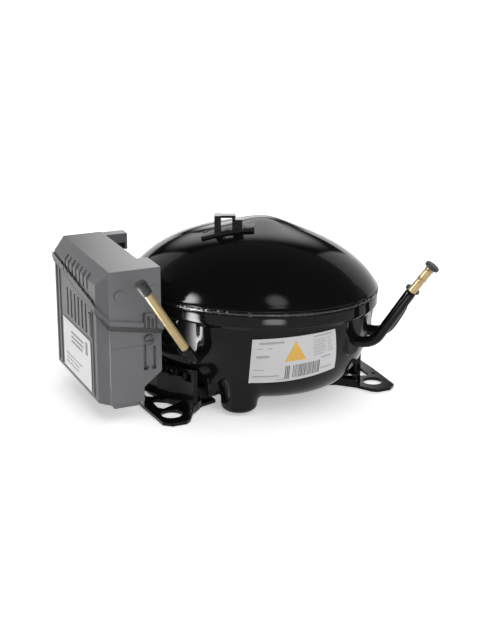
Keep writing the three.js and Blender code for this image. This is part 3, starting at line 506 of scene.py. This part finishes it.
def close_shell(name, outer, pole, inner_profile, inner_pole, replaced):
    """A skin from its rim to a pole, closed as a solid by an inner wall."""
    columns = outer.shape[1]
    faces = grid_faces(len(outer), columns)
    last = (len(outer) - 1) * columns
    flat = np.concatenate([outer.reshape(-1, 3), [[0, 0, pole]]])
    tip = len(flat) - 1
    faces += [(last + c, last + (c + 1) % columns, tip) for c in range(columns)]
    inner = oval_rows(inner_profile, columns).reshape(-1, 3)
    offset = len(flat)
    flat = np.concatenate([flat, inner, [[0, 0, inner_pole]]])
    faces += [(c, offset + c, offset + (c + 1) % columns, (c + 1) % columns) for c in range(columns)]
    faces += [tuple(offset + i for i in f) for f in grid_faces(len(inner_profile), columns)]
    tail = offset + (len(inner_profile) - 1) * columns
    end = len(flat) - 1
    faces += [(tail + c, end, tail + (c + 1) % columns) for c in range(columns)]
    make(name, from_shell(flat), faces, ENAMEL, replaces=[replaced], slot="shell_paint", sharp=60)


def build_lower_shell():
    # the rim's rolled lip and its wall, then the bowl's wall below them
    profile = [(0.962, 82.2), (0.975, 82.8), (0.99, 83.1), (0.997, 82.8), (1.0, 82.0), (1.0, 80.0),
               (1.0, 77.0), (1.0, 75.0), (0.9985, 74.0), (0.994, 73.2), (0.986, 72.5), (0.979, 71.9),
               (0.9745, 71.2)]
    for z in np.linspace(70.4, 37.2, 34):
        profile.append((bowl_share(z) + 0.0025 * max(0, (z - 66) / 4.4), z))
    upper = pads(oval_rows(profile, SHELL_COLUMNS))
    bottom = lower_bowl(SHELL_COLUMNS, 120)
    points = np.concatenate([upper, pads(bottom)[:-1]])
    inner_profile = [(bowl_share(z - 3) - 0.03, z) for z in (74, 66, 58, 50, 42, 34, 27, 21, 17, 14)]
    inner_profile.append((0.3, 10.5))
    close_shell("bowl", points, bottom[-1, 0, 2], inner_profile, 9, "lower_shell")


def build_upper_shell():
    # the dome's edge rolls in to the seam
    profile = [(0.9625, 85.4), (0.985, 85.0), (0.996, 85.3), (1.0, 86.4)]
    for turn in np.linspace(0.13, 1, 70)[:-1]:
        out = math.cos(turn * math.pi / 2)
        height = SEAM_Z + float(dome_height(out))
        if height > 88:
            profile.append((out, height))
    rows = oval_rows(profile, SHELL_COLUMNS)
    rows[..., 2] += swell(rows[..., 0], rows[..., 1])
    top = SEAM_Z + DOME_HEIGHT + float(swell(0, 0))
    inner_profile = [(0.93, 85), (0.9, 93), (0.8, 104), (0.6, 116), (0.3, 124)]
    close_shell("dome", rows, top, inner_profile, 126.5, "upper_shell")


WELD_SEAT = 0.986  # where the bead's middle runs, as a share of the rim's semi-axes
WELD_REACH = 1.004  # how far the bead may stand out, in the same shares


def build_weld():
    """A rippled bead lies in the seam; it starts and stops at the front."""
    columns = 1400
    around = 10
    angle = np.linspace(0, 2 * np.pi, columns, endpoint=False)
    rng = np.random.default_rng(7)
    ripple = 0.2 * np.sin(angle * 190) + 0.2 * np.sin(angle * 83 + 1) + rng.normal(0, 0.1, columns)
    # spatter and a lump where the weld starts
    lumps = np.zeros(columns)
    for _ in range(150):
        lumps += rng.uniform(0.2, 0.9) * np.exp(-(((angle - rng.uniform(0, 2 * np.pi)) * 110) ** 2))
    lumps += 1.1 * np.exp(-(((angle - math.radians(314)) * 60) ** 2))
    size = 1.45 + ripple * 0.6 + lumps * 0.6
    turn = np.linspace(0, 2 * np.pi, around, endpoint=False)
    out = np.stack([np.cos(angle) / SHELL_LONG, np.sin(angle) / SHELL_SHORT], -1)
    out /= np.linalg.norm(out, axis=1)[:, None]
    base = np.stack([WELD_SEAT * SHELL_LONG * np.cos(angle), WELD_SEAT * SHELL_SHORT * np.sin(angle)], -1)
    rings = []
    for t in turn:
        reach = size * math.cos(t) * 1.25
        rise = size * math.sin(t) * 1.05
        rings.append(np.stack([base[:, 0] + out[:, 0] * reach, base[:, 1] + out[:, 1] * reach,
                               SEAM_Z + rise], -1))
    flat = np.concatenate(rings)
    share = np.hypot(flat[:, 0] / SHELL_LONG, flat[:, 1] / SHELL_SHORT)
    flat[:, :2] *= np.minimum(1, WELD_REACH / share)[:, None]
    faces = grid_faces(around, columns)
    faces += [((around - 1) * columns + c, (around - 1) * columns + (c + 1) % columns, (c + 1) % columns, c)
              for c in range(columns)]
    make("weld", from_shell(flat), faces, WELD, replaces=["weld_bead"], slot="weld_paint", sharp=180)


# ---- Pieces refined from the frame ----
WALL_AREA = 60  # mm2 of faces that look one way, from which they count as a flat wall
BEVEL_SEGMENTS = 3


def refined(name, width, surface, body="shell", limit=28, sharp=32):
    """A node's own shape with its edges rounded."""
    cad = frame["nodes"][name]
    made = bpy.data.objects.new(name + "_rounded", cad.data.copy())
    bpy.context.scene.collection.objects.link(made)
    work = bmesh.new()
    work.from_mesh(made.data)
    bmesh.ops.remove_doubles(work, verts=work.verts, dist=1e-6)
    bmesh.ops.dissolve_limit(work, angle_limit=math.radians(1.5), verts=work.verts, edges=work.edges)
    # walls with slots through them bevel cleanly only as triangles
    bmesh.ops.triangulate(work, faces=work.faces, quad_method="BEAUTY", ngon_method="BEAUTY")
    areas = {}
    for face in work.faces:
        key = direction_key(face.normal)
        areas[key] = areas.get(key, 0) + face.calc_area()
    walls = {key for key, area in areas.items() if area > WALL_AREA * MM * MM}
    work.to_mesh(made.data)
    work.free()
    bevel = made.modifiers.new("bevel", "BEVEL")
    bevel.width = width * MM
    bevel.segments = BEVEL_SEGMENTS
    bevel.limit_method = "ANGLE"
    bevel.angle_limit = math.radians(limit)
    bevel.miter_outer = "MITER_ARC"
    bevel.use_clamp_overlap = True
    evaluated = made.evaluated_get(bpy.context.evaluated_depsgraph_get())
    final = bpy.data.meshes.new_from_object(evaluated)
    made.modifiers.clear()
    made.data = final
    return dress(made, surface, body, [name], sharp, walls)


# ---- Swept and turned pieces ----
CURVE_STEP = 1.2


def curve_points(points):
    """A smooth curve through given points, by Catmull-Rom, at an even step."""
    p = np.asarray(points, float)
    p = np.concatenate([[2 * p[0] - p[1]], p, [2 * p[-1] - p[-2]]])
    out = []
    for i in range(1, len(p) - 2):
        a, b, c, d = p[i - 1:i + 3]
        count = max(2, int(np.linalg.norm(c - b) / CURVE_STEP))
        for t in np.linspace(0, 1, count, endpoint=False):
            out.append(0.5 * (2 * b + (c - a) * t + (2 * a - 5 * b + 4 * c - d) * t ** 2
                              + (3 * b - a - 3 * c + d) * t ** 3))
    out.append(p[-2])
    return np.array(out)


def frames_along(path):
    """Two unit directions across a path at each of its points, which don't twist along it."""
    tangent = np.gradient(path, axis=0)
    tangent /= np.linalg.norm(tangent, axis=1)[:, None]
    up = np.array([0, 0, 1.0]) if abs(tangent[0][2]) < 0.9 else np.array([1.0, 0, 0])
    sides = []
    side = np.cross(up, tangent[0])
    for t in tangent:
        side = side - t * (side @ t)
        side /= np.linalg.norm(side)
        sides.append(side)
    sides = np.array(sides)
    return sides, np.cross(tangent, sides)


def tube(name, path, radii, bore, surface, **named):
    """A pipe along a path with a radius at each point; the bore makes it hollow."""
    sides = 40
    side, up = frames_along(path)
    turn = np.linspace(0, 2 * np.pi, sides, endpoint=False)
    ring = side[:, None] * np.cos(turn)[None, :, None] + up[:, None] * np.sin(turn)[None, :, None]
    radii = np.broadcast_to(radii, len(path))
    outer = path[:, None] + ring * radii[:, None, None]
    inner = (path[:, None] + ring * np.minimum(bore, radii - 0.25)[:, None, None])[::-1]
    rows = np.concatenate([outer, inner])
    count = len(rows)
    faces = grid_faces(count, sides)
    last = (count - 1) * sides
    faces += [(last + c, last + (c + 1) % sides, (c + 1) % sides, c) for c in range(sides)]
    return make(name, rows.reshape(-1, 3), faces, surface, **named)


def turned(name, base, direction, profile, surface, **named):
    """A closed turned shape on an axis, from (distance along, radius) pairs that start and end on it."""
    sides = 48
    base, direction = np.asarray(base, float), np.asarray(direction, float)
    direction = direction / np.linalg.norm(direction)
    side = np.cross(direction, [0, 0, 1.0] if abs(direction[2]) < 0.9 else [1.0, 0, 0])
    side /= np.linalg.norm(side)
    up = np.cross(direction, side)
    turn = np.linspace(0, 2 * np.pi, sides, endpoint=False)
    ring = np.cos(turn)[:, None] * side + np.sin(turn)[:, None] * up
    middle = profile[1:-1]
    rows = np.concatenate([base + direction * along + ring * radius for along, radius in middle])
    faces = grid_faces(len(middle), sides)
    count = len(rows)
    rows = np.concatenate([rows, [base + direction * profile[0][0]], [base + direction * profile[-1][0]]])
    last = (len(middle) - 1) * sides
    for c in range(sides):
        d = (c + 1) % sides
        faces.append((count, d, c))
        faces.append((count + 1, last + c, last + d))
    return make(name, rows, faces, surface, **named)


def bars(name, boxes, surface, bevel=0.25, **named):
    """Small rounded blocks from (low, high) corners, joined in one piece."""
    work = bmesh.new()
    for low, high in boxes:
        low, high = np.minimum(low, high), np.maximum(low, high)
        corner = [work.verts.new((x, y, z)) for x in (low[0], high[0]) for y in (low[1], high[1])
                  for z in (low[2], high[2])]
        for f in ((0, 1, 3, 2), (4, 6, 7, 5), (0, 4, 5, 1), (2, 3, 7, 6), (0, 2, 6, 4), (1, 5, 7, 3)):
            work.faces.new([corner[i] for i in f])
    if bevel:
        bmesh.ops.bevel(work, geom=list(work.edges), offset=bevel, segments=2, profile=0.5, affect="EDGES")
    vertices = [tuple(v.co) for v in work.verts]
    work.verts.index_update()
    faces = [[v.index for v in f.verts] for f in work.faces]
    work.free()
    return make(name, vertices, faces, surface, **named)


# ---- Service tubes ----
SERVICE = {
    "suction": [(46, -68.5, 53), (54, -76, 52.8), (60, -81.2, 56), (65, -85.2, 64.5), (80.6, -97, 95),
                (91, -105, 113.4)],
    "discharge": [(67, -55.6, 54.5), (74, -61, 54.3), (79.5, -65.8, 58), (84.5, -70, 68), (88.3, -73.1, 77.5),
                  (92.6, -76.6, 87.5)],
    "process": [(-62, -36.5, 48), (-67, -43, 47.4), (-71.5, -47.6, 48.4), (-75.4, -49.7, 52.6),
                (-79.8, -50.5, 58.9), (-114.2, -56.5, 112.2)],
}
CONNECTOR_R, TUBE_R, TUBE_BORE = 4.1, 3.2, 2.3
COPPER_OVERLAP = 4.0
BEAD_SHARE = 0.62  # how far along the copper its first rolled bead is


def service_tube(name):
    route = [np.array(p, float) for p in SERVICE[name]]
    end, before = route[-1], route[-2]
    along = (end - before) / np.linalg.norm(end - before)
    path = curve_points(route[:-1])
    radii = np.full(len(path), CONNECTOR_R)
    radii[-1] -= 0.5
    radii[-2] -= 0.1
    tube(name + "_connector_pipe", path, radii, TUBE_R + 0.1, ENAMEL,
         replaces=[name + "_connector"], slot="shell_paint")
    start = before - along * COPPER_OVERLAP
    length = float(np.linalg.norm(end - start))
    reach = np.arange(0, length, 0.5)
    radii = np.full(len(reach), TUBE_R)
    if name != "process":
        # two rolled beads near the end
        for spot in (length * BEAD_SHARE, length - 1.6):
            radii = radii + 0.35 * np.exp(-((reach - spot) / 0.55) ** 2)
        radii = radii - 0.25 * np.exp(-((reach - length * BEAD_SHARE + 1.8) / 0.6) ** 2)
    path = start + along * reach[:, None]
    tube(name + "_copper", path, radii, TUBE_BORE, COPPER, replaces=[name + "_tube"], slot="tube_copper")
    if name == "process":
        profile = [(3.0, 0), (3.0, 3.1), (2.7, 3.9), (2.0, 4.25), (0.6, 4.4), (-3.0, 4.35), (-7.2, 4.25),
                   (-7.8, 4.1), (-8.0, 3.9), (-8.0, 3.5), (0.2, 3.4), (0.3, 0)]
    else:
        profile = [(3.2, 0), (3.2, 4.4), (3.0, 5.2), (2.5, 5.6), (1.2, 5.6), (0.6, 5.3), (0.4, 4.6),
                   (0.4, 2.0), (-5.4, 1.9), (-6.0, 1.5), (-6.0, 0)]
    turned(name + "_stopper", end, along, profile, RUBBER, body=name + "_plug",
           replaces=[name + "_plug"], slot="plug_rubber")


# ---- Nameplate ----
PLATE = {"tl": (-33.5, -67.2, 64.2), "tr": (26, -81.3, 68.9), "br": (30.4, -74.5, 35.2),
         "bl": (-32.2, -57.4, 27.1)}
# heights above the bowl: under and over the sheet, then under and over the print
SHEET_LIFT = (0.3, 0.6)
PRINT_LIFT = (0.62, 0.7)


def plate_place(u, v, lift):
    """A point of the nameplate, from shares across and down, lifted off the bowl."""
    corner = {k: to_shell(p) for k, p in PLATE.items()}
    turn = {k: math.atan2(p[1] / SHELL_SHORT, p[0] / SHELL_LONG) for k, p in corner.items()}
    u, v = np.asarray(u, float), np.asarray(v, float)

    def mix(q):
        return (q["tl"] * (1 - u) + q["tr"] * u) * (1 - v) + (q["bl"] * (1 - u) + q["br"] * u) * v

    angle = mix(turn)
    z = mix({k: p[2] for k, p in corner.items()}) - 1.6 * np.sin(np.pi * u) * v
    share = bowl_share(z)
    x, y = SHELL_LONG * share * np.cos(angle), SHELL_SHORT * share * np.sin(angle)
    normal = np.stack([np.cos(angle) / SHELL_LONG, np.sin(angle) / SHELL_SHORT], -1)
    normal /= np.linalg.norm(normal, axis=-1)[..., None]
    place = np.stack([x, y, z], -1)
    for _ in range(4):
        push = lift - bowl_distance(place)
        place[..., 0] += normal[..., 0] * push
        place[..., 1] += normal[..., 1] * push
    return place


def plate_patch(outline, lift):
    """Vertices and faces of a thin sheet over an outline of (u, v) rows on the nameplate."""
    u, v = outline
    rows, columns = u.shape
    under, top = (plate_place(u, v, height).reshape(-1, 3) for height in lift)
    faces = grid_faces(rows, columns, closed=False)
    count = rows * columns
    faces += [tuple(count + i for i in reversed(f)) for f in grid_faces(rows, columns, closed=False)]
    rim = [(0, c) for c in range(columns)] + [(r, columns - 1) for r in range(1, rows)]
    rim += [(rows - 1, c) for c in range(columns - 2, -1, -1)] + [(r, 0) for r in range(rows - 2, 0, -1)]
    index = [r * columns + c for r, c in rim]
    for a, b in zip(index, index[1:] + index[:1]):
        faces.append((a, count + a, count + b, b))
    return np.concatenate([top, under]), faces


def plate_print(name, regions, surface):
    """Printed blocks from (left, right, top, bottom) shares; a fifth value draws a triangle instead."""
    vertices, faces = [], []
    for u0, u1, v0, v1, *tip in regions:
        columns = max(2, int((u1 - u0) * 40) + 2)
        u, v = np.meshgrid(np.linspace(u0, u1, columns), np.linspace(v0, v1, 3 if not tip else 12))
        if tip:
            share = (v - v0) / (v1 - v0)
            u = (u0 + u1) / 2 + (u - (u0 + u1) / 2) * (0.03 + 0.97 * share)
        points, sheet = plate_patch((u, v), PRINT_LIFT)
        offset = sum(len(x) for x in vertices)
        vertices.append(points)
        faces += [tuple(offset + i for i in f) for f in sheet]
    make(name, from_shell(np.concatenate(vertices)), faces, surface, slot="label_paper", sharp=60)


def add_nameplate():
    u, v = np.meshgrid(np.linspace(0, 1, 60), np.linspace(0, 1, 24))
    points, faces = plate_patch((u, v), SHEET_LIFT)
    make("nameplate_sheet", from_shell(points), faces, LABEL, replaces=["nameplate"], slot="label_paper",
         sharp=60)
    # grey bars stand for the lines of print, and upright strokes for a code
    lines = [(0.08, 0.36, 0.07, 0.12), (0.70, 0.95, 0.05, 0.075), (0.06, 0.12, 0.2, 0.22),
             (0.17, 0.23, 0.2, 0.22), (0.06, 0.2, 0.36, 0.42), (0.04, 0.15, 0.68, 0.70),
             (0.80, 0.92, 0.57, 0.6), (0.04, 0.32, 0.83, 0.86), (0.30, 0.44, 0.93, 0.95),
             (0.80, 0.94, 0.84, 0.87)]
    rng = np.random.default_rng(4)
    for row in range(7):
        lines.append((0.70, 0.80 + rng.uniform(0, 0.06), 0.14 + row * 0.055, 0.155 + row * 0.055))
        lines.append((0.88, 0.92 + rng.uniform(0, 0.05), 0.13 + row * 0.055, 0.145 + row * 0.055))
    plate_print("nameplate_print", lines, PALE_INK)
    strokes = []
    at = 0.385
    while at < 0.78:
        wide = rng.choice([0.004, 0.007, 0.011])
        if not 0.44 < at < 0.47:
            strokes.append((at, at + wide, 0.63, 0.93))
        at += wide + rng.choice([0.006, 0.009])
    plate_print("nameplate_code", strokes, INK)
    plate_print("nameplate_mark", [(0.37, 0.61, 0.10, 0.53, 1)], AMBER)


# ---- Drive box details ----
BOX_LEFT, BOX_FRONT = -137.0, -30.0
PARTING_FRONT, PARTING_BACK = (-21, 86), (84, 100)  # the parting line's ends on the left wall, as (y, z)
TOOTH_PITCH = 10.4


def parting_height(y):
    """Height of the parting line on the left wall."""
    (y0, z0), (y1, z1) = PARTING_FRONT, PARTING_BACK
    return z0 + (y - y0) * (z1 - z0) / (y1 - y0)


def seal_strip():
    """The dark seal that shows between housing and cover."""
    route = [(BOX_LEFT, 80, 99.5), (BOX_LEFT, -21, 86), (-130, BOX_FRONT, 74.8), (-90, BOX_FRONT, 67.6)]
    # for each corner: outward direction, how far it stands out, how far above the line it reaches
    shape = [(-1, 0, 1.2, 0.3), (-0.9, -0.45, 1.25, 0.6), (-0.45, -0.9, 1.75, 1.6), (0, -1, 1.6, 1.6)]
    rows = []
    for (x, y, z), (ox, oy, stand, above) in zip(route, shape):
        inner, outer = (x - ox * 0.4, y - oy * 0.4), (x + ox * stand, y + oy * stand)
        rows.append([(*inner, z - 2.1), (*outer, z - 2.1), (*outer, z + above), (*inner, z + above)])
    flat = np.array(rows).reshape(-1, 3)
    faces = grid_faces(len(route), 4) + [(3, 2, 1, 0), tuple(range(len(flat) - 4, len(flat)))]
    make("cover_seal", flat, faces, BLACK_PLASTIC, slot="black_plastic", sharp=20)


def add_drive_details():
    seal_strip()
    teeth = []
    for i in range(8):
        y = 60 - i * TOOTH_PITCH
        z = parting_height(y) + 1.2
        teeth.append(((BOX_LEFT - 1.35, y - 2.1, z - 1.6), (BOX_LEFT + 0.2, y + 2.1, z + 3.6)))
    bars("vent_teeth", teeth, BLACK_PLASTIC, bevel=0.5, slot="black_plastic")
    ribs = [((BOX_LEFT - 0.7, y, 17), (BOX_LEFT + 0.1, y + 2.2, parting_height(y) - 0.8))
            for y in (66.5, 74.5)]
    ribs.append(((BOX_LEFT - 0.7, -13.5, 16), (BOX_LEFT + 0.1, -12, 84)))
    ribs.append(((BOX_LEFT - 1.0, -10.5, 62), (BOX_LEFT + 0.1, -4, 80)))
    bars("housing_ribs", ribs, DRIVE, bevel=0.3, slot="drive_plastic")
    front = BOX_FRONT
    # a snap bracket frames the cover's latch on the front wall
    dark = [((-104, front - 0.9, 38.5), (-102.4, front + 0.1, 58)),
            ((-96.6, front - 0.9, 38.5), (-95, front + 0.1, 56)),
            ((-104, front - 0.9, 38.5), (-100.6, front + 0.1, 41)),
            ((-98.2, front - 0.9, 38.5), (-95, front + 0.1, 41)),
            ((-104.2, front - 1.5, 68), (-102.6, front + 0.1, 82.5)),
            ((-95.2, front - 1.5, 68), (-93.6, front + 0.1, 82.5)),
            ((-101.5, front - 1.6, 69.6), (-99.4, front - 1.1, 80)),
            ((-98.4, front - 1.6, 71), (-96.4, front - 1.1, 78))]
    bars("latch_trim", dark, BLACK_PLASTIC, bevel=0.25, slot="black_plastic")
    seams = [((-129, front - 0.35, 57.4), (-104.6, front + 0.1, 58.1))]
    bars("housing_seam", seams, DRIVE, bevel=0.12, slot="drive_plastic")
    turned("cover_ring", (-95.5, front - 0.5, 100), (0, 1, 0),
           [(0, 0), (0, 2.6), (0.1, 3.1), (0.3, 3.2), (0.55, 3.2), (0.55, 0)], DRIVE, slot="drive_plastic")


def add_drive_label():
    """A printed film: lines of bars on a rounded sheet."""
    x = BOX_LEFT
    bars("drive_label_sheet", [((x - 0.6, -7, 18), (x - 0.3, 61, 58))], DRIVE_FILM, bevel=0.1,
         replaces=["drive_label"], slot="label_paper")
    lines = []
    rng = np.random.default_rng(2)
    for row in range(3):
        z = 50 - row * 3.6
        lines.append(((x - 0.66, 8 + rng.uniform(0, 6), z), (x - 0.55, 40, z + 1.8)))
    for row in range(3):
        z = 30 - row * 3.4
        lines.append(((x - 0.66, 14 + rng.uniform(0, 14), z), (x - 0.55, 54, z + 0.9)))
    lines.append(((x - 0.66, 0, 44), (x - 0.55, 5, 54)))
    bars("drive_label_print", lines, PALE_INK, bevel=0, slot="label_paper")


def add_drive_box():
    refined("drive_housing", 0.7, DRIVE)
    refined("drive_cover", 0.7, DRIVE)
    add_drive_label()
    add_drive_details()
    refined("cable_clip", 0.5, BLACK_PLASTIC)
    refined("lock_screw", 0.25, DARK_ZINC)


def add_fittings():
    for side in ("left", "right"):
        refined(side + "_foot_plate", 0.45, ENAMEL)
    for name in SERVICE:
        service_tube(name)
    refined("top_clip", 0.5, ENAMEL)
    refined("terminal_fence", 0.3, ENAMEL)
    refined("motor_plug", 0.6, BLACK_PLASTIC)
    add_nameplate()


def add_springs():
    """Each suspension spring is copied from its node onto no body, with its placement baked into its points.
    """
    for number in (1, 2, 3):
        name = f"suspension_spring_{number}"
        wire = refined(name, 0.05, SLOT_SURFACES["ground_steel"], body=None, limit=89, sharp=89)
        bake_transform(wire)


finish_frame()
add_camera()
add_world()
add_floor()
add_lights()
build_lower_shell()
build_upper_shell()
build_weld()
add_fittings()
add_drive_box()
add_springs()


bpy.context.scene.view_settings.view_transform = "Standard"
